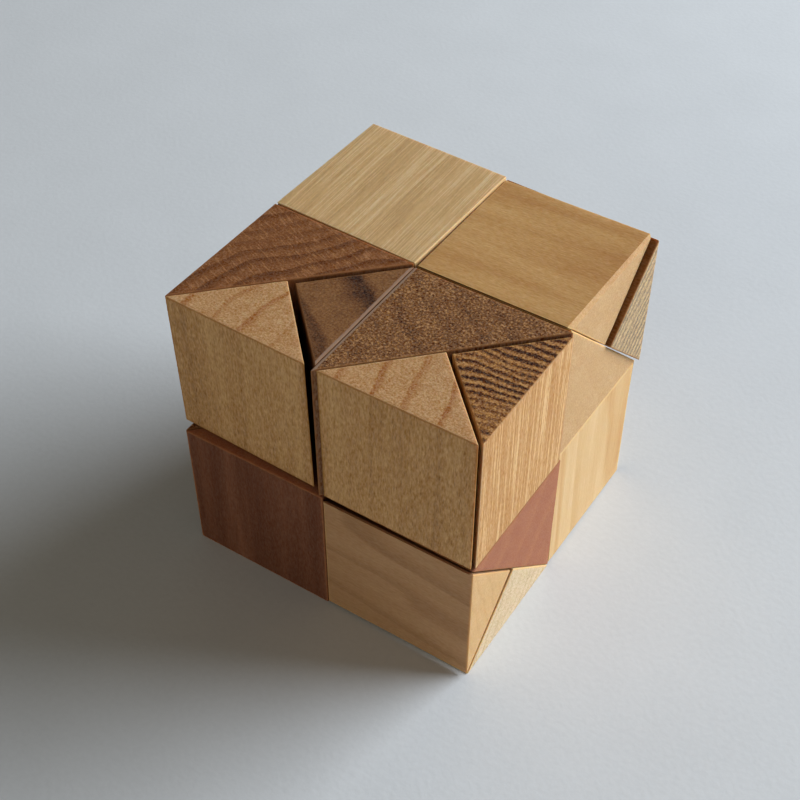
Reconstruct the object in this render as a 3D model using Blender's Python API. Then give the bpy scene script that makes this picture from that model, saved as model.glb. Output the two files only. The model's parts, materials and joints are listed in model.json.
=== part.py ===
"""Interlocking wooden block puzzle, at rest and put together.

Eight cells, two along each axis, make a cube. Each cell is split along its diagonals, about an
axis of its own, into a half-cube prism and two quarter-cube prisms. A puzzle piece is the half and
one quarter of its own cell, glued together, which leaves a V notch, and a tongue: a quarter glued
to the outside of the piece, which fills the notch of the next piece. The tongues lead from piece
to piece in one closed chain, which holds the cube together.

X runs along the front, Y runs to the back and Z is up. The origin is under the middle of the cube,
on the surface that it stands on. Metres.
"""

import collections
import math

import bmesh
import bpy
from mathutils import Euler
from mathutils import Vector

COLUMN_WIDTH = 0.025  # a cell's size along X
ROW_DEPTH = 0.025  # along Y
LAYER_HEIGHT = 0.025  # along Z
CLEARANCE = 0.0003  # between the faces of different pieces
GLUE_LINE = 0.00006  # between the blocks of one piece
EDGE_EASE = 0.00012  # sanded off every edge
LONG_TONGUE = 0.0009  # by which one tongue is cut too long
SHORT_QUARTER = 0.00015  # by which one quarter is cut too short
THIN_QUARTER = 0.0003  # by which one quarter is cut too thin on the side of its notch
THICK_TONGUE = 0.0005  # by which one tongue is cut too thick on one slope
FULL_TONGUE = 0.00015  # by which another tongue is cut too thick on one slope
WIDE_HALF = 0.0004  # by which one half is cut too wide, and the tongue glued to it too flat

AXES = "xyz"
CELL = Vector((COLUMN_WIDTH, ROW_DEPTH, LAYER_HEIGHT))
ROUGHNESS = 0.55

# A face of a cell is a sign and an axis, such as +x for its right side. cell counts columns, rows
# and layers from the front left corner. The half covers two faces of the cell that run along its
# axis, the quarter covers one, and the notch is open at the last. slip is how far the piece has
# worked loose along X, Y and Z. lean is how far one side of its cell has tipped against the other,
# about X, Y and Z. woods are those of the half, the quarter and the tongue.
Piece = collections.namedtuple("Piece", "cell axis half quarter notch fills slip lean woods")

PIECES = {
    "upper_front_right": Piece(
        cell=(1, 0, 1), axis="z", half=("+y", "-x"), quarter=("-y",), notch=("+x",),
        fills="upper_front_left", slip=(0.0004, -0.0002, 0.00025), lean=(-0.0001, -0.00015, 0.0002),
        woods=("walnut", "maple", "dark_walnut"),
    ),
    "upper_front_left": Piece(
        cell=(0, 0, 1), axis="z", half=("+y", "-x"), quarter=("-y",), notch=("+x",),
        fills="upper_back_left", slip=(-0.0006, 0.00045, 0), lean=(0.00035, -0.0001, -0.00035),
        woods=("beech", "maple", "dark_walnut"),
    ),
    "upper_back_left": Piece(
        cell=(0, 1, 1), axis="y", half=("+z", "+x"), quarter=("-z",), notch=("-x",),
        fills="upper_back_right", slip=(-0.00035, 0.00045, 0.00015), lean=(0.0002, 0, -0.0005),
        woods=("ash", "beech", "elm"),
    ),
    "upper_back_right": Piece(
        cell=(1, 1, 1), axis="x", half=("-y", "-z"), quarter=("+z",), notch=("+y",),
        fills="lower_back_right", slip=(-0.0001, -0.00025, 0.0001), lean=(-0.00015, -0.00035, 0),
        woods=("birch", "birch", "pine"),
    ),
    "lower_back_right": Piece(
        cell=(1, 1, 0), axis="z", half=("-x", "-y"), quarter=("+y",), notch=("+x",),
        fills="lower_back_left", slip=(0, 0, 0), lean=(0, 0, 0),
        woods=("walnut", "ash", "cherry"),
    ),
    "lower_back_left": Piece(
        cell=(0, 1, 0), axis="z", half=("-x", "-y"), quarter=("+y",), notch=("+x",),
        fills="lower_front_left", slip=(0, 0, 0), lean=(0, 0, 0),
        woods=("maple", "cherry", "pine"),
    ),
    "lower_front_left": Piece(
        cell=(0, 0, 0), axis="z", half=("-y", "+x"), quarter=("-x",), notch=("+y",),
        fills="lower_front_right", slip=(0.00035, -0.00065, 0), lean=(0, 0, 0.0005),
        woods=("cherry", "walnut", "maple"),
    ),
    "lower_front_right": Piece(
        cell=(1, 0, 0), axis="x", half=("+y", "+z"), quarter=("-z",), notch=("-y",),
        fills="upper_front_right", slip=(0.00055, 0.0001, 0), lean=(0, 0, 0.00015),
        woods=("cherry", "ash", "oak"),
    ),
}

# How far a block's face stands out of its place or, where this is negative, falls short of it.
# A sloping face is named by the side that it looks to.
MISCUTS = {
    ("upper_back_left_tongue", "+x"): LONG_TONGUE,
    ("upper_back_right_quarter", "+x"): -SHORT_QUARTER,
    ("upper_front_left_quarter", "+x"): -THIN_QUARTER,
    ("upper_front_right_half", "-x"): WIDE_HALF,
    ("upper_front_right_tongue", "+x"): -WIDE_HALF,
    ("upper_front_right_tongue", "+y"): THICK_TONGUE,
    ("upper_back_left_tongue", "-z"): FULL_TONGUE,
}

WOOD_COLOURS = {
    "maple": (0.62, 0.40, 0.20),
    "birch": (0.60, 0.37, 0.17),
    "beech": (0.33, 0.15, 0.07),
    "cherry": (0.27, 0.09, 0.05),
    "walnut": (0.12, 0.06, 0.03),
    "dark_walnut": (0.07, 0.03, 0.02),
    "oak": (0.48, 0.27, 0.12),
    "ash": (0.55, 0.38, 0.20),
    "elm": (0.40, 0.32, 0.20),
    "pine": (0.66, 0.45, 0.20),
}


def clear_scene():
    for item in list(bpy.data.objects):
        bpy.data.objects.remove(item, do_unlink=True)


def opposite(face):
    return {"+": "-", "-": "+"}[face[0]] + face[1]


def turn_of(lean):
    """The turn about X, Y and Z that tips one side of a cell by each of these against the other."""
    turns = []
    for i, tipped in enumerate(lean):
        widest = max(CELL[(i + 1) % 3], CELL[(i + 2) % 3])
        turns.append(math.atan(tipped / widest))
    return Euler(turns)


def faces_around(axis):
    """The four faces of a cell that run along the axis, counter-clockwise as seen against it."""
    first = AXES[(AXES.index(axis) + 1) % 3]
    second = AXES[(AXES.index(axis) + 2) % 3]
    return ["+" + first, "+" + second, "-" + first, "-" + second]


def section(axis, faces, gap, slope_gap):
    """The three corners of a block's section about its axis, and the gap along each side."""
    ring = faces_around(axis)
    half_width = CELL[AXES.index(ring[0][1])] / 2
    half_height = CELL[AXES.index(ring[1][1])] / 2
    signs = ((1, -1), (1, 1), (-1, 1), (-1, -1))
    corners = [Vector((half_width * a, half_height * b)) for a, b in signs]
    # The block starts at the face whose neighbour before it isn't one of the block's.
    start = next(i for i in range(4) if ring[i] in faces and ring[i - 1] not in faces)
    covered = [ring[(start + i) % 4] for i in range(len(faces))]
    points = [corners[(start + i) % 4] for i in range(len(faces) + 1)]
    gaps = [gap(face) for face in covered] + [slope_gap(ring[(start + len(faces)) % 4])]
    if len(faces) == 1:
        points.append(Vector((0, 0)))
        gaps.append(slope_gap(ring[start - 1]))
    return points, gaps


def moved_in(points, gaps):
    """The corners of a convex outline after each of its sides has moved in by its gap."""
    lines = []
    for start, end, gap in zip(points, points[1:] + points[:1], gaps):
        along = (end - start).normalized()
        inward = Vector((-along.y, along.x))
        lines.append((start + inward * gap, along))
    corners = []
    for (point, along), (other, across) in zip(lines[-1:] + lines[:-1], lines):
        reach = (other - point).cross(across) / along.cross(across)
        corners.append(point + along * reach)
    return corners


def prism(name, axis, outline, low, high):
    """A mesh with this outline about the axis, from low to high along it, with eased edges."""
    order = [(AXES.index(axis) + i) % 3 for i in range(3)]
    bm = bmesh.new()
    verts = []
    for corner in outline:
        place = Vector((0, 0, 0))
        place[order[0]] = low
        place[order[1]] = corner.x
        place[order[2]] = corner.y
        verts.append(bm.verts.new(place))
    base = bm.faces.new(verts)
    grown = bmesh.ops.extrude_face_region(bm, geom=[base])["geom"]
    rise = Vector((0, 0, 0))
    rise[order[0]] = high - low
    top = [item for item in grown if isinstance(item, bmesh.types.BMVert)]
    bmesh.ops.translate(bm, verts=top, vec=rise)
    bmesh.ops.recalc_face_normals(bm, faces=bm.faces)
    bmesh.ops.bevel(
        bm, geom=bm.edges[:], offset=EDGE_EASE, offset_type="OFFSET", segments=1,
        profile=0.5, affect="EDGES",
    )
    mesh = bpy.data.meshes.new(name)
    bm.to_mesh(mesh)
    bm.free()
    return mesh


def wood_material(name, wood):
    material = bpy.data.materials.new(name + "_wood")
    material.use_nodes = True
    shader = material.node_tree.nodes["Principled BSDF"]
    shader.inputs["Base Color"].default_value = (*WOOD_COLOURS[wood], 1)
    shader.inputs["Roughness"].default_value = ROUGHNESS
    shader.inputs["Metallic"].default_value = 0
    return material


def add_block(name, parent, place, axis, faces, wood, glued_face, inner_gap):
    """One block, parented to its piece. Its place is its cell's centre, seen from the piece's."""

    def gap(face):
        between = GLUE_LINE if face == glued_face else CLEARANCE
        return between / 2 - MISCUTS.get((name, face), 0)

    def slope_gap(face):
        return inner_gap - MISCUTS.get((name, face), 0)

    outline = moved_in(*section(axis, faces, gap, slope_gap))
    half_length = CELL[AXES.index(axis)] / 2
    low = gap("-" + axis) - half_length
    high = half_length - gap("+" + axis)
    block = bpy.data.objects.new(name, prism(name, axis, outline, low, high))
    block.data.materials.append(wood_material(name, wood))
    block.parent = parent
    block.location = place
    bpy.context.scene.collection.objects.link(block)
    return block


def add_piece(name, piece, cube):
    """The three blocks of a piece, under an empty at its cell's centre, where its slide's axis is."""
    centre = bpy.data.objects.new(name + "_centre", None)
    centre.parent = cube
    middle = Vector([(count + 0.5) * size for count, size in zip(piece.cell, CELL)])
    centre.location = middle + Vector(piece.slip)
    centre.rotation_euler = turn_of(piece.lean)
    bpy.context.scene.collection.objects.link(centre)

    filled = PIECES[piece.fills]
    step = Vector(filled.cell) - Vector(piece.cell)
    across = next(i for i in range(3) if step[i])
    glued = ("+" if step[across] > 0 else "-") + AXES[across]
    beside = Vector([count * size for count, size in zip(step, CELL)])
    half_wood, quarter_wood, tongue_wood = piece.woods
    own = dict(parent=centre, place=(0, 0, 0), axis=piece.axis, glued_face=glued)
    own["inner_gap"] = GLUE_LINE / 2
    half = add_block(name + "_half", faces=piece.half, wood=half_wood, **own)
    quarter = add_block(name + "_quarter", faces=piece.quarter, wood=quarter_wood, **own)
    tongue = add_block(
        name + "_tongue", centre, beside, filled.axis, filled.notch, tongue_wood,
        glued_face=opposite(glued), inner_gap=CLEARANCE,
    )
    return [half, quarter, tongue]


def stand_on_origin(cube, blocks):
    """Moves the whole cube so that the origin is under the middle of its blocks' box."""
    bpy.context.view_layer.update()
    points = [block.matrix_world @ vert.co for block in blocks for vert in block.data.vertices]
    low = [min(point[i] for point in points) for i in range(3)]
    high = [max(point[i] for point in points) for i in range(3)]
    cube.location = (-(low[0] + high[0]) / 2, -(low[1] + high[1]) / 2, -low[2])
    bpy.context.view_layer.update()


def main():
    clear_scene()
    cube = bpy.data.objects.new("cube", None)
    bpy.context.scene.collection.objects.link(cube)
    blocks = []
    for name, piece in PIECES.items():
        blocks += add_piece(name, piece, cube)
    stand_on_origin(cube, blocks)


main()
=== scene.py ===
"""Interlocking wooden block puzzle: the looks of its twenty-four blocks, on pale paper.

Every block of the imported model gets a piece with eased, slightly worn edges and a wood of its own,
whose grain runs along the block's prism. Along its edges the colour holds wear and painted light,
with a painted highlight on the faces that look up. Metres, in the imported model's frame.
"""

import collections
import json
import math

import bpy
from mathutils import Matrix
from mathutils import Quaternion
from mathutils import Vector


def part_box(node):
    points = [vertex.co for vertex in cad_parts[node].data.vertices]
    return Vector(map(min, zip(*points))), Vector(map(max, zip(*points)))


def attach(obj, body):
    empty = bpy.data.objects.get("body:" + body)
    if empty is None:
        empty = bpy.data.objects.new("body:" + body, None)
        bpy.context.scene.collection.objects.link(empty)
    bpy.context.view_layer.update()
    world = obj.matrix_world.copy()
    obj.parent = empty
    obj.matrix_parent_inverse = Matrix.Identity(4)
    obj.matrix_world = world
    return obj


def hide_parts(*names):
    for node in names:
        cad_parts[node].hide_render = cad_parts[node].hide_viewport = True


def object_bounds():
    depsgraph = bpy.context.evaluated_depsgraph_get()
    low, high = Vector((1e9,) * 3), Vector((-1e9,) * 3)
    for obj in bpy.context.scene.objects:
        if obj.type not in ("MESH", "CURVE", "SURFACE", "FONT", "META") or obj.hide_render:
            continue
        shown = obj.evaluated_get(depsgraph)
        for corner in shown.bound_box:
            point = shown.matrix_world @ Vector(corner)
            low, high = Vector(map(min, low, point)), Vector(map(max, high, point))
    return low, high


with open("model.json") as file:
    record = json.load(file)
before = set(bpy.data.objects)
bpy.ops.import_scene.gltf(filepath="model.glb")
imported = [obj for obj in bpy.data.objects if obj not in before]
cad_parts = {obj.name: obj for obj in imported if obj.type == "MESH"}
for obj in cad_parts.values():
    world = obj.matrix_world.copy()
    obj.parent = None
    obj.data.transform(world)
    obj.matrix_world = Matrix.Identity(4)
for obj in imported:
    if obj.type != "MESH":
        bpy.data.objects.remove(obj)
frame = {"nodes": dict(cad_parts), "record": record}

CAD_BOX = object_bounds()
MM = 0.001

# Camera
AZIMUTH = math.radians(33.52)
ELEVATION = math.radians(45.27)
ROLL = math.radians(0.10)
DISTANCE = 0.2094
LENS = 62.1
SENSOR = 36
NEAREST = 0.01  # what lies nearer the camera is left out
AIM = Vector((-0.75, -3.15, 0.24)) * MM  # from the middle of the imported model's box
TONES = "Standard"

# Each light: side from X towards Y and rise in degrees, metres away, width, height, watts, colour
Light = collections.namedtuple("Light", "side rise away width height watts colour")
LIGHTS = {
    "window": Light(51, 24.2, 1.23, 1.05, 0.80, 27.3, (0.917, 0.957, 1.0)),
    "room": Light(-100, 15, 1.5, 1.2, 0.8, 3.9, (1.0, 0.90, 0.72)),
}
AIR_COLOUR = (1.0, 0.90, 0.72)
AIR_STRENGTH = 0.10

# Paper that the puzzle stands on
PAPER = (0.70, 0.74, 0.78)
PAPER_CHANGE = 0.08  # by which its colour goes darker and lighter
PAPER_SIZE = 4  # metres a side
PAPER_MOTTLE = {"Scale": 60.0, "Detail": 4.0}
PAPER_TOOTH = {"Scale": 1100.0, "Detail": 3.0}
PAPER_BUMP = 0.25
PAPER_DEPTH = 0.2 * MM
PAPER_ROUGHNESS = 0.75
PAPER_SHINE = 0.25

# Blocks
WELD = 0.001 * MM  # corners closer than this are one corner
NEARLY_FLAT = math.radians(1)
FLAT_FACE = 60 * MM * MM  # only the prism's own faces are larger than this
RIM = 0.0003  # width of the band that each flat face keeps along its edges
LONG_EDGE = 0.002  # longer edges are divided
CUTS = 40
EDGE_REACH = 3.0  # the largest distance from an edge that is told apart, in mm
NICK_SIZE = 0.7 * MM
NICK_DEPTH = 0.00008
SAND_SIZE = 6.0 * MM
SAND_DEPTH = 0.00003
ROUND_BELOW = math.radians(30)  # faces that meet at a smaller angle look like one round face

# Sharp edges that were knocked off: the block, the side that the edge points to, and how much
BLUNT = {
    "upper_front_right_quarter": (Vector((1, 0, 0)), 0.00015),
    "upper_back_right_quarter": (Vector((1, 0, 1)).normalized(), 0.00035),
    "lower_front_left_tongue": (Vector((0, 0, 1)), 0.0003),
}

# Glue that squeezed out along a joint: the block and the side it shows on
GLUE = {
    "upper_front_right_half": Vector((-1, 0, 0)),
    "upper_front_right_tongue": Vector((1, 0, 0)),
}
GLUE_COLOUR = (0.33, 0.215, 0.150)
GLUE_ENDS = (0.68, 0.54)  # mm from the joint where it stops and where it is whole, at the most
GLUE_RAGGED = 0.3  # mm by which it falls short of that in places

# side and end are the dark, middle and light colours along and across the grain. The colour after
# them is that of the edges on faces that don't look up: wear with a painted highlight, and on the
# maple a darker painted shade. ring is the width of a year and crinkle how far its line wanders, in
# mm. line and peak are the shares of a year at which it starts to darken and is darkest. The rest
# say how strongly each part of the figure shows: fibre, lines, streak, mottle, dash and late_side
# along the grain, speck, fleck, pores, late_end and saw across it, and glint on both.
Wood = collections.namedtuple(
    "Wood",
    "side end worn ring line peak crinkle fibre lines streak mottle dash late_side "
    "speck fleck pores late_end glint saw",
    defaults=(0.0,),
)
WOODS = {
    "maple": Wood(
        side=((0.28, 0.155, 0.070), (0.51, 0.290, 0.122), (0.70, 0.45, 0.21)),
        end=((0.38, 0.150, 0.052), (0.50, 0.265, 0.110), (0.69, 0.45, 0.24)),
        worn=(0.40, 0.18, 0.050), ring=5.0, line=0.70, peak=0.90, crinkle=0.10,
        fibre=0.16, lines=0.0, streak=0.36, mottle=0.42, dash=0.26, late_side=0.12,
        speck=0.36, fleck=0.0, pores=0.0, late_end=0.50, glint=0.170, saw=0.16,
    ),
    "pale_maple": Wood(
        side=((0.34, 0.185, 0.09), (0.44, 0.25, 0.125), (0.56, 0.35, 0.19)),
        end=((0.48, 0.28, 0.12), (0.58, 0.36, 0.165), (0.68, 0.46, 0.24)),
        worn=(0.60, 0.34, 0.14), ring=2.4, line=0.55, peak=0.90, crinkle=0.10,
        fibre=0.20, lines=0.0, streak=0.20, mottle=0.20, dash=0.0, late_side=0.40,
        speck=0.25, fleck=0.0, pores=0.0, late_end=0.14, glint=0.060,
    ),
    "birch": Wood(
        side=((0.43, 0.195, 0.065), (0.55, 0.305, 0.115), (0.68, 0.42, 0.18)),
        end=((0.44, 0.26, 0.12), (0.51, 0.315, 0.15), (0.60, 0.40, 0.21)),
        worn=(0.70, 0.43, 0.18), ring=6.0, line=0.5, peak=0.90, crinkle=0.20,
        fibre=0.25, lines=0.0, streak=0.45, mottle=0.16, dash=0.0, late_side=0.12,
        speck=0.20, fleck=0.0, pores=0.0, late_end=0.10, glint=0.085,
    ),
    "beech": Wood(
        side=((0.15, 0.06, 0.025), (0.24, 0.10, 0.042), (0.34, 0.16, 0.075)),
        end=((0.135, 0.048, 0.018), (0.245, 0.097, 0.036), (0.42, 0.20, 0.085)),
        worn=(0.40, 0.18, 0.07), ring=2.6, line=0.30, peak=0.90, crinkle=0.07,
        fibre=0.30, lines=0.0, streak=0.20, mottle=0.20, dash=0.10, late_side=0.40,
        speck=0.36, fleck=0.0, pores=0.15, late_end=0.44, glint=0.075, saw=0.42,
    ),
    "cherry": Wood(
        side=((0.115, 0.039, 0.020), (0.180, 0.070, 0.037), (0.28, 0.120, 0.066)),
        end=((0.27, 0.092, 0.050), (0.345, 0.135, 0.073), (0.45, 0.20, 0.085)),
        worn=(0.36, 0.15, 0.065), ring=6.4, line=0.35, peak=0.90, crinkle=0.30,
        fibre=0.28, lines=0.0, streak=0.60, mottle=0.20, dash=0.0, late_side=0.15,
        speck=0.20, fleck=0.0, pores=0.0, late_end=-0.15, glint=0.045,
    ),
    "walnut": Wood(
        side=((0.085, 0.035, 0.018), (0.16, 0.070, 0.032), (0.28, 0.14, 0.065)),
        end=((0.075, 0.034, 0.016), (0.22, 0.097, 0.039), (0.50, 0.27, 0.11)),
        worn=(0.30, 0.14, 0.055), ring=4.0, line=0.3, peak=0.80, crinkle=0.40,
        fibre=0.45, lines=0.0, streak=0.30, mottle=0.15, dash=0.30, late_side=0.15,
        speck=0.66, fleck=0.42, pores=0.20, late_end=0.15, glint=0.130,
    ),
    "dark_walnut": Wood(
        side=((0.050, 0.020, 0.010), (0.13, 0.050, 0.022), (0.22, 0.095, 0.042)),
        end=((0.026, 0.014, 0.013), (0.18, 0.078, 0.032), (0.36, 0.18, 0.070)),
        worn=(0.24, 0.11, 0.045), ring=9.0, line=0.40, peak=0.84, crinkle=0.30,
        fibre=0.30, lines=0.0, streak=0.50, mottle=0.10, dash=0.15, late_side=0.20,
        speck=0.40, fleck=0.10, pores=0.05, late_end=0.60, glint=0.050,
    ),
    "oak": Wood(
        side=((0.36, 0.165, 0.050), (0.50, 0.262, 0.097), (0.76, 0.51, 0.255)),
        end=((0.055, 0.019, 0.007), (0.26, 0.108, 0.038), (0.58, 0.31, 0.11)),
        worn=(0.42, 0.25, 0.14), ring=1.25, line=0.15, peak=0.62, crinkle=0.30,
        fibre=0.30, lines=0.40, streak=0.15, mottle=0.0, dash=0.30, late_side=0.0,
        speck=0.60, fleck=0.40, pores=0.25, late_end=0.85, glint=0.12,
    ),
    "ash": Wood(
        side=((0.42, 0.250, 0.110), (0.67, 0.44, 0.21), (0.86, 0.68, 0.42)),
        end=((0.40, 0.27, 0.14), (0.60, 0.45, 0.27), (0.74, 0.60, 0.42)),
        worn=(0.70, 0.44, 0.19), ring=2.2, line=0.5, peak=0.90, crinkle=0.20,
        fibre=0.25, lines=0.24, streak=0.22, mottle=0.0, dash=0.0, late_side=0.10,
        speck=0.35, fleck=-0.30, pores=0.10, late_end=0.25, glint=0.060,
    ),
    # The elm's colours along the grain are its own brown, warmed to orange-brown by painted light
    # reflected from the neighbouring blocks into the gap where these faces show.
    "elm": Wood(
        side=((0.15, 0.055, 0.016), (0.25, 0.105, 0.034), (0.36, 0.17, 0.065)),
        end=((0.19, 0.150, 0.105), (0.36, 0.25, 0.14), (0.62, 0.44, 0.24)),
        worn=(0.42, 0.24, 0.11), ring=1.3, line=0.3, peak=0.80, crinkle=0.40,
        fibre=0.35, lines=0.0, streak=0.30, mottle=0.10, dash=0.20, late_side=0.20,
        speck=0.60, fleck=0.20, pores=0.20, late_end=0.70, glint=0.080,
    ),
    "pine": Wood(
        side=((0.54, 0.30, 0.115), (0.63, 0.41, 0.195), (0.72, 0.53, 0.30)),
        end=((0.42, 0.24, 0.10), (0.56, 0.36, 0.17), (0.68, 0.48, 0.26)),
        worn=(0.70, 0.48, 0.24), ring=3.6, line=0.6, peak=0.90, crinkle=0.15,
        fibre=0.20, lines=0.10, streak=0.40, mottle=0.0, dash=0.0, late_side=0.45,
        speck=0.25, fleck=0.0, pores=0.0, late_end=0.35, glint=0.030,
    ),
}

Grain = collections.namedtuple("Grain", "wood axis pith lean")
# axis is the line that the grain follows, pith where the middle of the tree lay, in mm across the
# grain from the block's middle, and lean the tilt of the grain in degrees.
GRAINS = {
    "upper_front_right_half": Grain("walnut", "z", (40, 60), (0, 0)),
    "upper_front_right_quarter": Grain("maple", "z", (55, 20), (0, 1.5)),
    "upper_front_right_tongue": Grain("dark_walnut", "z", (-34.1, -45.5), (0, 0)),
    "upper_front_left_half": Grain("beech", "z", (34, -19), (0, 0)),
    "upper_front_left_quarter": Grain("maple", "z", (55, -7), (1, 1)),
    "upper_front_left_tongue": Grain("dark_walnut", "y", (30, 20), (0, 0)),
    "upper_back_left_half": Grain("ash", "y", (-4, 55), (1, 0)),
    "upper_back_left_quarter": Grain("beech", "y", (30, 30), (0, 1)),
    "upper_back_left_tongue": Grain("elm", "x", (-38, 46), (0, 0)),
    "upper_back_right_half": Grain("birch", "x", (60, 40), (0, 0)),
    "upper_back_right_quarter": Grain("birch", "x", (8, 60), (4, 2)),
    "upper_back_right_tongue": Grain("pine", "z", (-50, 20), (0, 1)),
    "lower_back_right_half": Grain("walnut", "z", (30, 50), (0, 0)),
    "lower_back_right_quarter": Grain("ash", "z", (-50, 30), (1, 0)),
    "lower_back_right_tongue": Grain("cherry", "z", (50, -30), (0, 0)),
    "lower_back_left_half": Grain("maple", "z", (-45, 35), (0, 1)),
    "lower_back_left_quarter": Grain("cherry", "z", (-30, -50), (1, 0)),
    "lower_back_left_tongue": Grain("pine", "z", (40, 40), (0, 0)),
    "lower_front_left_half": Grain("cherry", "z", (40, 35), (0, 1)),
    "lower_front_left_quarter": Grain("walnut", "z", (45, -35), (0, 0)),
    "lower_front_left_tongue": Grain("pale_maple", "x", (60, 20), (1, -3)),
    "lower_front_right_half": Grain("cherry", "x", (-24, 31), (0, 0)),
    "lower_front_right_quarter": Grain("ash", "x", (40, -30), (0, 0)),
    "lower_front_right_tongue": Grain("oak", "z", (10, -57), (0, 0)),
}

# A pattern's rates of change across and along the grain, per mm, the number of its finer layers,
# the strength of each beside the last, and how much of it a strength of 1 shows
Pattern = collections.namedtuple(
    "Pattern", "across along detail roughness gain", defaults=(1.0,)
)
SWAY = Pattern(0.06, 0.012, 2, 0.5, 7)
WAVER = Pattern(1.3, 0.05, 3, 0.6, 2)
FIBRE = Pattern(5.0, 0.25, 2, 0.6, 2.0)
THREAD = Pattern(4.2, 0.05, 1, 0.5)
STREAK = Pattern(0.30, 0.02, 3, 0.5, 2.4)
MOTTLE = Pattern(2.8, 0.8, 2, 0.7, 2.0)
SPECK = Pattern(2.6, 2.6, 2, 0.7, 2.4)
CLOUD = Pattern(0.4, 0.4, 2, 0.5, 0.4)
RAGGED = Pattern(0.9, 0.9, 3, 0.7, 0.6)

# The values at which a pattern starts to show and shows in full
THREAD_SHOWS = (0.48, 0.62)
FLECK_SHOWS = (0.50, 0.68)
SAW_SHOWS = (0.54, 0.66)
YEAR_SHOWS = (0.3, 0.6)

# Dashes and holes: their rates across and along, and the radii inside which they are whole and
# outside which there is nothing of them
DASH_RATES = (3.2, 0.5)
DASH_RADII = (0.14, 0.34)
HOLE_RATES = (2.4, 2.4)
HOLE_RADII = (0.12, 0.36)

# Grit, moved aside so that it doesn't lie where the specks are
GRIT_RATE = 2.5
GRIT_ASIDE = 9
GRIT_ROUGHNESS = 0.6

# Saw marks: the way that they run across the end grain, and their rates of change
SAW_TURN = math.radians(-21)
SAW_ACROSS = 3.6
SAW_ALONG = 0.45
SAW_DEEP = 0.1
SAW_ROUGHNESS = 0.7

# Years: how soon the dark end breaks off, how fast strong and weak years change, the weakest
RING_BREAK = 0.02
YEARS_RATE = 0.13
WEAKEST_YEAR = 0.4

# What each part of the figure takes away or adds on average. It is given back, so that the middle
# colour stays the middle.
USUAL_LATE_SIDE = 0.25
USUAL_LINES = 0.4
USUAL_DASH = 0.15
USUAL_LATE_END = 0.3
USUAL_FLECK = 0.25
USUAL_PORES = 0.2
USUAL_SAW = 0.25

# Fine grains of light and dark: their rates of change, how strong they are along the grain beside
# across it, how much of each colour they change, and the darkest that they leave
GLINT_ACROSS = 3.4
GLINT_ALONG = 1.1
GLINT_ROUGHNESS = 0.8
GLINT_GAIN = 2.6
GLINT_ON_SIDES = 0.75
GLINT_TINT = (1.0, 0.92, 0.75)
DARKEST = (0.004, 0.003, 0.002)

# How squarely a face must look along the grain, or up, to count as one that does
END_FACE = (0.6, 0.8)
UP_FACE = (0.5, 0.9)

# Edges, worn and painted with light: mm from the edge where the band stops and where it is whole, at
# the most, how strong it is, and how much less so on faces that look up, where it is a painted
# highlight in the wood's lightest colour
EDGE_WEAR_AND_LIGHT_ENDS = (0.66, 0.42)
EDGE_WEAR_AND_LIGHT_STRENGTH = 0.8
EDGE_WEAR_AND_LIGHT_LESS_ON_TOP = 0.45

# Surface: what each part of the figure adds to the roughness and takes from or adds to the height
PLAIN_ROUGHNESS = 0.60
FIBRE_ROUGHNESS = 0.2
END_ROUGHNESS = 0.1
WORN_ROUGHNESS = 0.3
FIBRE_HEIGHT = 0.4
SPECK_HEIGHT = 0.6
GLINT_HEIGHT = 0.6
LATE_HEIGHT = 0.2
BUMP = 0.7
BUMP_DEPTH = 0.05 * MM
SHINE = 0.15
INNER_SHARE = 0.25  # of the light that goes into the wood and comes out beside
INNER_COLOUR = (1.0, 0.42, 0.14)
INNER_REACH = 1.2 * MM


# ---- camera and light ----

def out_from(side, rise):
    """The level direction at this angle from X, lifted by rise."""
    return Vector((math.cos(side) * math.cos(rise), math.sin(side) * math.cos(rise),
                   math.sin(rise)))


def set_camera():
    low, high = CAD_BOX
    aim = (low + high) / 2 + AIM
    back = out_from(AZIMUTH - math.pi / 2, ELEVATION)
    camera = bpy.data.objects.new("camera", bpy.data.cameras.new("camera"))
    bpy.context.scene.collection.objects.link(camera)
    camera.location = aim + back * DISTANCE
    camera.rotation_mode = "QUATERNION"
    roll = Quaternion((0, 0, 1), ROLL)
    camera.rotation_quaternion = (-back).to_track_quat("-Z", "Y") @ roll
    camera.data.sensor_width = SENSOR
    camera.data.lens = LENS
    camera.data.clip_start = NEAREST
    bpy.context.scene.camera = camera


def add_light(name, light):
    """A soft rectangle of light that looks at the object."""
    data = bpy.data.lights.new(name, "AREA")
    data.shape = "RECTANGLE"
    data.size = light.width
    data.size_y = light.height
    data.energy = light.watts
    data.color = light.colour
    lamp = bpy.data.objects.new(name, data)
    bpy.context.scene.collection.objects.link(lamp)
    towards = out_from(math.radians(light.side), math.radians(light.rise))
    lamp.location = towards * light.away
    lamp.rotation_mode = "QUATERNION"
    lamp.rotation_quaternion = (-towards).to_track_quat("-Z", "Y")


def set_air():
    """The weak light that comes from all round the room."""
    world = bpy.data.worlds.new("air")
    world.use_nodes = True
    air = world.node_tree.nodes["Background"]
    air.inputs["Color"].default_value = (*AIR_COLOUR, 1)
    air.inputs["Strength"].default_value = AIR_STRENGTH
    bpy.context.scene.world = world
    bpy.context.scene.view_settings.view_transform = TONES


# ---- shader maths ----

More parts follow.
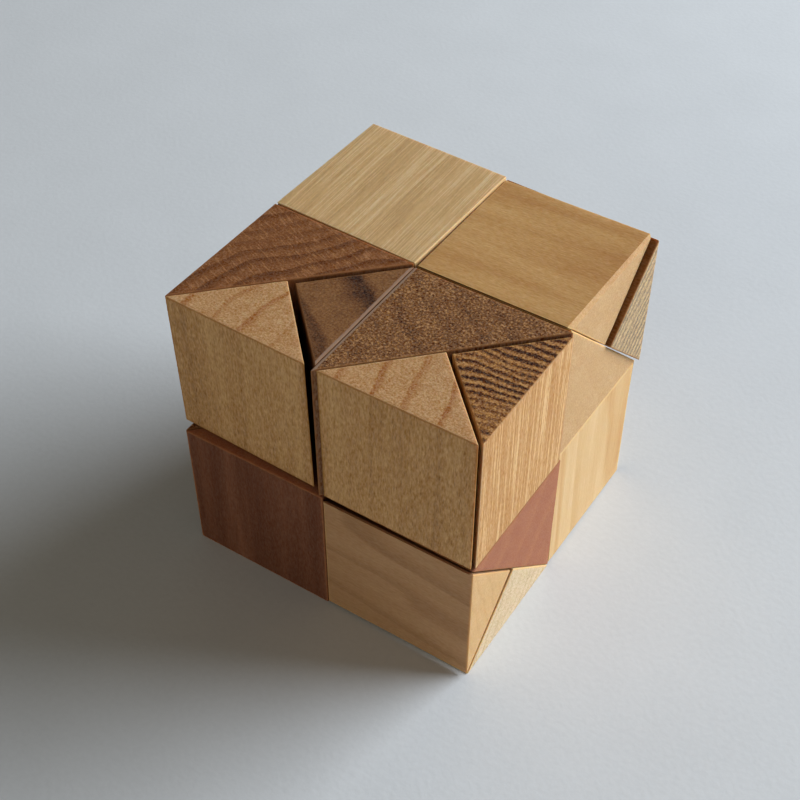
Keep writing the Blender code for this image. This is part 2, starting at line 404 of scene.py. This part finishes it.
class Value:
    """What a shader socket gives. Sums on it add Math nodes."""

    def __init__(self, shader, socket):
        self.shader = shader
        self.socket = socket

    def maths(self, operation, first, second=0.0):
        values = {0: first, 1: second}
        return self.shader.node("ShaderNodeMath", {"operation": operation}, values)

    def __add__(self, other):
        return self.maths("ADD", self, other)

    def __radd__(self, other):
        return self.maths("ADD", other, self)

    def __sub__(self, other):
        return self.maths("SUBTRACT", self, other)

    def __rsub__(self, other):
        return self.maths("SUBTRACT", other, self)

    def __mul__(self, other):
        return self.maths("MULTIPLY", self, other)

    def __truediv__(self, other):
        return self.maths("DIVIDE", self, other)

    def __pow__(self, other):
        return self.maths("POWER", self, other)

    def __abs__(self):
        return self.maths("ABSOLUTE", self)


class Shader:
    """A material's nodes."""

    def __init__(self, name):
        self.material = bpy.data.materials.new(name)
        self.material.use_nodes = True
        self.tree = self.material.node_tree
        self.surface = self.tree.nodes["Principled BSDF"]

    def node(self, kind, settings=None, values=None, out=0):
        """Adds a node, sets it up, gives its sockets their values or links, and gives an output."""
        made = self.tree.nodes.new(kind)
        for name, setting in (settings or {}).items():
            if name == "stops":
                self.set_stops(made.color_ramp, setting)
            else:
                setattr(made, name, setting)
        for name, value in (values or {}).items():
            self.give(self.socket_of(made.inputs, name), value)
        return Value(self, self.socket_of(made.outputs, out))

    @staticmethod
    def socket_of(sockets, name):
        if isinstance(name, int):
            return sockets[name]
        return next(s for s in sockets if name in (s.identifier, s.name) and s.enabled)

    @staticmethod
    def set_stops(ramp, stops):
        while len(ramp.elements) < len(stops):
            ramp.elements.new(1.0)
        for element, (place, colour) in zip(ramp.elements, stops):
            element.position = place
            element.color = (*colour, 1)

    def give(self, socket, value):
        if isinstance(value, Value):
            self.tree.links.new(value.socket, socket)
        else:
            socket.default_value = value

    def split(self, vector):
        return [
            self.node("ShaderNodeSeparateXYZ", {}, {0: vector}, out=i) for i in range(3)
        ]

    def joined(self, x, y, z):
        return self.node("ShaderNodeCombineXYZ", {}, {0: x, 1: y, 2: z})

    def noise(self, vector, detail=2.0, roughness=0.5):
        values = {"Vector": vector, "Scale": 1.0, "Detail": detail, "Roughness": roughness}
        return self.node("ShaderNodeTexNoise", {}, values, out=0)

    def spots(self, vector, least, most):
        """1 in the middle of scattered spots, 0 outside them."""
        values = {"Vector": vector, "Scale": 1.0}
        away = self.node("ShaderNodeTexVoronoi", {"feature": "F1"}, values, out="Distance")
        return self.between(away, most, least)

    def between(self, value, low, high):
        """0 at low and below, 1 at high and above, smooth in between."""
        values = {"Value": value, "From Min": low, "From Max": high}
        return self.node("ShaderNodeMapRange", {"interpolation_type": "SMOOTHSTEP"}, values)

    def ramp(self, value, stops):
        return self.node("ShaderNodeValToRGB", {"stops": stops}, {"Fac": value}, out="Color")

    def mix(self, share, first, second):
        """The first colour where share is 0, the second where it is 1."""
        values = {
            "Factor_Float": share,
            "A_Color": self.with_alpha(first),
            "B_Color": self.with_alpha(second),
        }
        return self.node("ShaderNodeMix", {"data_type": "RGBA"}, values, out="Result_Color")

    @staticmethod
    def with_alpha(colour):
        return colour if isinstance(colour, Value) else (*colour, 1)

# ---- woods ----

TURNS = {
    "x": Matrix(((0, 0, 1), (1, 0, 0), (0, 1, 0))),
    "y": Matrix(((0, 1, 0), (0, 0, 1), (1, 0, 0))),
    "z": Matrix.Identity(3),
}


def board_place(shader, node, grain):
    """Distances across and along the grain, in mm, from where the middle of the tree lay."""
    low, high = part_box(node)
    turn = TURNS[grain.axis]
    lean = Matrix.Rotation(math.radians(grain.lean[0]), 3, "X")
    lean = lean @ Matrix.Rotation(math.radians(grain.lean[1]), 3, "Y")
    pith = (low + high) / 2 + turn @ Vector((*grain.pith, 0)) * MM
    place = shader.node("ShaderNodeTexCoord", out="Object")
    values = {
        "Vector": place,
        "Location": pith,
        "Rotation": (turn @ lean).to_euler(),
        "Scale": (MM, MM, MM),
    }
    return shader.node("ShaderNodeMapping", {"vector_type": "TEXTURE"}, values)


def facing(shader, axis):
    """How squarely a face looks along this axis, 1 or -1 where it does and 0 beside it."""
    normal = shader.node("ShaderNodeTexCoord", out="Normal")
    return shader.split(normal)["xyz".index(axis)]


class Board:
    """A block's place in the board that it was sawn from, and which of its faces are end grain."""

    def __init__(self, shader, node, grain):
        self.shader = shader
        self.x, self.y, self.z = shader.split(board_place(shader, node, grain))
        self.end = shader.between(abs(facing(shader, grain.axis)), *END_FACE)

    def place(self, across, along):
        """The place, with its distances across and along the grain stretched by these rates."""
        return self.shader.joined(self.x * across, self.y * across, self.z * along)

    def noise(self, pattern):
        place = self.place(pattern.across, pattern.along)
        return self.shader.noise(place, pattern.detail, pattern.roughness)

    def swing(self, pattern):
        """The pattern's noise, moved so that its middle is 0."""
        return self.noise(pattern) - 0.5


def ramp_stops(colours):
    """The dark, middle and light colours at the start, middle and end of a ramp."""
    return list(zip((0.0, 0.5, 1.0), colours))


def late_wood(s, wood, board):
    """1 where a year is darkest and 0 in its pale part, weaker in some years than in others."""
    radius = (board.x * board.x + board.y * board.y) ** 0.5 + board.swing(SWAY) * SWAY.gain
    radius = radius + board.swing(WAVER) * (WAVER.gain * wood.crinkle)
    year = s.node("ShaderNodeMath", {"operation": "FRACT"}, {0: radius / wood.ring})
    late = s.between(year, wood.line, wood.peak) * s.between(year, 1.0, wood.peak + RING_BREAK)
    years = s.noise(s.joined(radius * YEARS_RATE, 0, 0), detail=0)
    return late * (WEAKEST_YEAR + s.between(years, *YEAR_SHOWS) * (1 - WEAKEST_YEAR))


def side_figure(s, wood, board, late):
    """How light the wood is on the faces along its grain, and the fibre that makes it rough."""
    fibre = board.swing(FIBRE)
    lines = s.between(board.noise(THREAD), *THREAD_SHOWS)
    dash = s.spots(board.place(*DASH_RATES), *DASH_RADII)
    tone = fibre * (FIBRE.gain * wood.fibre) + board.swing(STREAK) * (STREAK.gain * wood.streak)
    tone = tone + board.swing(MOTTLE) * (MOTTLE.gain * wood.mottle)
    tone = tone + lines * wood.lines - dash * wood.dash - late * wood.late_side
    given_back = wood.late_side * USUAL_LATE_SIDE - wood.lines * USUAL_LINES
    given_back += wood.dash * USUAL_DASH
    return tone + (0.5 + given_back), fibre


def saw_marks(s, board):
    along = board.x * math.cos(SAW_TURN) + board.y * math.sin(SAW_TURN)
    across = board.y * math.cos(SAW_TURN) - board.x * math.sin(SAW_TURN)
    place = s.joined(across * SAW_ACROSS, along * SAW_ALONG, board.z * SAW_DEEP)
    return s.between(s.noise(place, detail=2, roughness=SAW_ROUGHNESS), *SAW_SHOWS)


def flecks(s, board):
    aside = board.y * GRIT_RATE + GRIT_ASIDE
    place = s.joined(board.x * GRIT_RATE, aside, board.z * GRIT_RATE)
    return s.between(s.noise(place, detail=1, roughness=GRIT_ROUGHNESS), *FLECK_SHOWS)


def end_figure(s, wood, board, late):
    """How light the wood is on the faces across its grain, and the speckle that makes it rough."""
    speck = board.swing(SPECK)
    hole = s.spots(board.place(*HOLE_RATES), *HOLE_RADII)
    tone = speck * (SPECK.gain * wood.speck) + board.swing(CLOUD) * CLOUD.gain
    tone = tone + flecks(s, board) * wood.fleck - hole * wood.pores
    tone = tone + saw_marks(s, board) * wood.saw - late * wood.late_end
    given_back = wood.late_end * USUAL_LATE_END - wood.fleck * USUAL_FLECK
    given_back += wood.pores * USUAL_PORES - wood.saw * USUAL_SAW
    return tone + (0.5 + given_back), speck


def glinting(s, wood, board, colour):
    """The colour with the fine light and dark grains of cut fibre, and those grains."""
    along = GLINT_ALONG + board.end * (GLINT_ACROSS - GLINT_ALONG)
    place = board.place(GLINT_ACROSS, along)
    grains = s.noise(place, detail=1, roughness=GLINT_ROUGHNESS) - 0.5
    strength = (GLINT_ON_SIDES + board.end * (1 - GLINT_ON_SIDES)) * (GLINT_GAIN * wood.glint)
    change = grains * strength
    values = {0: colour, 1: s.joined(*(change * part for part in GLINT_TINT))}
    changed = s.node("ShaderNodeVectorMath", {"operation": "ADD"}, values)
    values = {0: changed, 1: DARKEST}
    return s.node("ShaderNodeVectorMath", {"operation": "MAXIMUM"}, values), grains


def worn_and_lit_edges(s, node, wood, board, colour):
    """The colour with worn edges and the painted highlight and shade along them, any glue line on
    top, and how strong the edge band is.
    """
    edge = s.node("ShaderNodeAttribute", {"attribute_name": "edge"}, out="Fac")
    ragged = board.noise(RAGGED)
    # The band along the edges is wear and painted light: on faces that look up it takes the wood's
    # lightest colour, a painted highlight, and on other faces the wood's edge colour, wear with a
    # painted highlight, and on the maple a painted shade.
    worn = s.between(edge + ragged * RAGGED.gain, *EDGE_WEAR_AND_LIGHT_ENDS)
    up = s.between(facing(s, "z"), *UP_FACE)
    edge_wear_and_light_colour = s.mix(up, wood.worn, s.mix(board.end, wood.side[2], wood.end[2]))
    colour = s.mix(worn * (EDGE_WEAR_AND_LIGHT_STRENGTH - up * EDGE_WEAR_AND_LIGHT_LESS_ON_TOP), colour, edge_wear_and_light_colour)
    if node in GLUE:
        glue = s.node("ShaderNodeAttribute", {"attribute_name": "glue"}, out="Fac")
        shows = s.between(glue + ragged * GLUE_RAGGED, *GLUE_ENDS) * up
        colour = s.mix(shows, colour, GLUE_COLOUR)
    return colour, worn


def wood_material(node, grain):
    wood = WOODS[grain.wood]
    s = Shader(node + "_" + grain.wood)
    board = Board(s, node, grain)
    late = late_wood(s, wood, board)
    side_tone, fibre = side_figure(s, wood, board, late)
    end_tone, speck = end_figure(s, wood, board, late)
    side_colour = s.ramp(side_tone, ramp_stops(wood.side))
    end_colour = s.ramp(end_tone, ramp_stops(wood.end))
    colour = s.mix(board.end, side_colour, end_colour)
    colour, grains = glinting(s, wood, board, colour)
    # The edges: wear, with painted highlight and shade along them
    colour, worn = worn_and_lit_edges(s, node, wood, board, colour)

    rough = PLAIN_ROUGHNESS + fibre * FIBRE_ROUGHNESS + board.end * END_ROUGHNESS
    rough = rough + worn * WORN_ROUGHNESS
    height = fibre * FIBRE_HEIGHT + board.end * speck * SPECK_HEIGHT + grains * GLINT_HEIGHT
    height = height - late * LATE_HEIGHT
    values = {"Height": height, "Strength": BUMP, "Distance": BUMP_DEPTH}
    s.give(s.surface.inputs["Base Color"], colour)
    s.give(s.surface.inputs["Roughness"], rough)
    s.give(s.surface.inputs["Normal"], s.node("ShaderNodeBump", {}, values, out="Normal"))
    s.surface.inputs["Specular IOR Level"].default_value = SHINE
    s.surface.inputs["Subsurface Weight"].default_value = INNER_SHARE
    s.surface.inputs["Subsurface Radius"].default_value = INNER_COLOUR
    s.surface.inputs["Subsurface Scale"].default_value = INNER_REACH
    return s.material


# ---- blocks ----

def only(item):
    """Selects this object alone and makes it the one that operators act on."""
    bpy.ops.object.select_all(action="DESELECT")
    item.select_set(True)
    bpy.context.view_layer.objects.active = item


def in_edit_mode(step, **settings):
    """Runs one edit-mode operator on what is selected."""
    bpy.ops.object.mode_set(mode="EDIT")
    step(**settings)
    bpy.ops.object.mode_set(mode="OBJECT")


def is_flat(face):
    return face.area > FLAT_FACE


def select_none(kind):
    """Clears the selection and says whether faces or edges are picked next."""
    bpy.ops.object.mode_set(mode="EDIT")
    bpy.ops.mesh.select_mode(type=kind)
    bpy.ops.mesh.select_all(action="DESELECT")
    bpy.ops.object.mode_set(mode="OBJECT")


def select_flat_faces(mesh):
    select_none("FACE")
    for face in mesh.polygons:
        face.select = is_flat(face)


def select_long_edges(mesh):
    select_none("EDGE")
    for edge in mesh.edges:
        first, second = (mesh.vertices[i].co for i in edge.vertices)
        edge.select = (first - second).length > LONG_EDGE


def copy_of(node):
    """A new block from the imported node, with each flat face whole and no stored normals."""
    block = bpy.data.objects.new(node + "_block", frame["nodes"][node].data.copy())
    bpy.context.scene.collection.objects.link(block)
    only(block)
    bpy.ops.object.mode_set(mode="EDIT")
    bpy.ops.mesh.select_all(action="SELECT")
    bpy.ops.mesh.customdata_custom_splitnormals_clear()
    bpy.ops.mesh.remove_doubles(threshold=WELD)
    bpy.ops.mesh.dissolve_limited(angle_limit=NEARLY_FLAT)
    bpy.ops.object.mode_set(mode="OBJECT")
    return block


def blunt(mesh, side, depth):
    """Cuts a flat across the corner of the block that points to this side."""
    reach = max(vertex.co.dot(side) for vertex in mesh.vertices)
    bpy.ops.object.mode_set(mode="EDIT")
    bpy.ops.mesh.select_all(action="SELECT")
    bpy.ops.mesh.bisect(
        plane_co=side * (reach - depth), plane_no=side, use_fill=True, clear_outer=True
    )
    bpy.ops.object.mode_set(mode="OBJECT")


def divide(mesh):
    """Gives each flat face a rim along its edges and cuts the whole block finely."""
    select_flat_faces(mesh)
    in_edit_mode(bpy.ops.mesh.inset, thickness=RIM, use_individual=True)
    select_long_edges(mesh)
    in_edit_mode(bpy.ops.mesh.subdivide, number_cuts=CUTS, quadcorner="INNERVERT")


def edge_distances(mesh, planes):
    """For each vertex, how far it lies from the second nearest of the block's planes, in mm."""
    distances = []
    for vertex in mesh.vertices:
        away = sorted(abs((vertex.co - point).dot(normal)) for point, normal in planes)
        distances.append(min(away[1] / MM, EDGE_REACH))
    return distances


def keep_distances(mesh, name, distances):
    kept = mesh.attributes.new(name, "FLOAT", "POINT")
    kept.data.foreach_set("value", distances)


def glue_distances(mesh, planes, side):
    """For each vertex, how far it lies from the flat face that looks to this side, in mm."""
    point, normal = max(planes, key=lambda plane: plane[1].dot(side))
    return [abs((vertex.co - point).dot(normal)) / MM for vertex in mesh.vertices]


def wear(block, group, pattern_size, depth):
    """Takes wood off the block where the group is, by a pattern of this size."""
    texture = bpy.data.textures.new(block.name + group, "CLOUDS")
    texture.noise_scale = pattern_size
    texture.noise_depth = 2
    texture.intensity = 1.0
    texture.contrast = 1.0
    change = block.modifiers.new(group, "DISPLACE")
    change.texture = texture
    change.texture_coords = "LOCAL"
    change.vertex_group = group
    change.mid_level = 0.0
    change.strength = -depth
    only(block)
    bpy.ops.object.modifier_apply(modifier=change.name)


def wear_down(block, distances):
    """Nicks the block near its edges and sands it all over."""
    edges = block.vertex_groups.new(name="edges")
    faces = block.vertex_groups.new(name="faces")
    for i, away in enumerate(distances):
        edges.add([i], max(0.0, 1 - away / (RIM / MM)), "REPLACE")
        faces.add([i], 1.0, "REPLACE")
    wear(block, "edges", NICK_SIZE, NICK_DEPTH)
    wear(block, "faces", SAND_SIZE, SAND_DEPTH)


def make_block(node, body):
    block = copy_of(node)
    mesh = block.data
    if node in BLUNT:
        blunt(mesh, *BLUNT[node])
    planes = [(Vector(f.center), Vector(f.normal)) for f in mesh.polygons if is_flat(f)]
    divide(mesh)
    distances = edge_distances(mesh, planes)
    keep_distances(mesh, "edge", distances)
    if node in GLUE:
        keep_distances(mesh, "glue", glue_distances(mesh, planes, GLUE[node]))
    wear_down(block, distances)
    bpy.ops.object.shade_smooth_by_angle(angle=ROUND_BELOW)
    mesh.materials.clear()
    mesh.materials.append(wood_material(node, GRAINS[node]))
    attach(block, body)
    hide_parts(node)


def make_floor():
    ground = CAD_BOX[0].z
    bpy.ops.object.select_all(action="DESELECT")
    bpy.ops.mesh.primitive_plane_add(size=PAPER_SIZE, location=(0, 0, ground))
    floor = bpy.context.active_object
    floor.name = "paper"
    s = Shader("paper")
    place = s.node("ShaderNodeTexCoord", out="Object")
    mottle = s.node("ShaderNodeTexNoise", {}, {"Vector": place, **PAPER_MOTTLE})
    tooth = s.node("ShaderNodeTexNoise", {}, {"Vector": place, **PAPER_TOOTH})
    darker = [part * (1 - PAPER_CHANGE) for part in PAPER]
    lighter = [part * (1 + PAPER_CHANGE) for part in PAPER]
    colour = s.mix(mottle * 0.5 + tooth * 0.5, darker, lighter)
    height = tooth * 0.5 + mottle
    values = {"Height": height, "Strength": PAPER_BUMP, "Distance": PAPER_DEPTH}
    s.give(s.surface.inputs["Base Color"], colour)
    s.give(s.surface.inputs["Normal"], s.node("ShaderNodeBump", {}, values, out="Normal"))
    s.surface.inputs["Roughness"].default_value = PAPER_ROUGHNESS
    s.surface.inputs["Specular IOR Level"].default_value = PAPER_SHINE
    floor.data.materials.append(s.material)


def main():
    set_camera()
    for name, light in LIGHTS.items():
        add_light(name, light)
    set_air()
    make_floor()
    for body, nodes in frame["record"]["behaviour"]["bodies"].items():
        for node in nodes:
            make_block(node, body)


main()
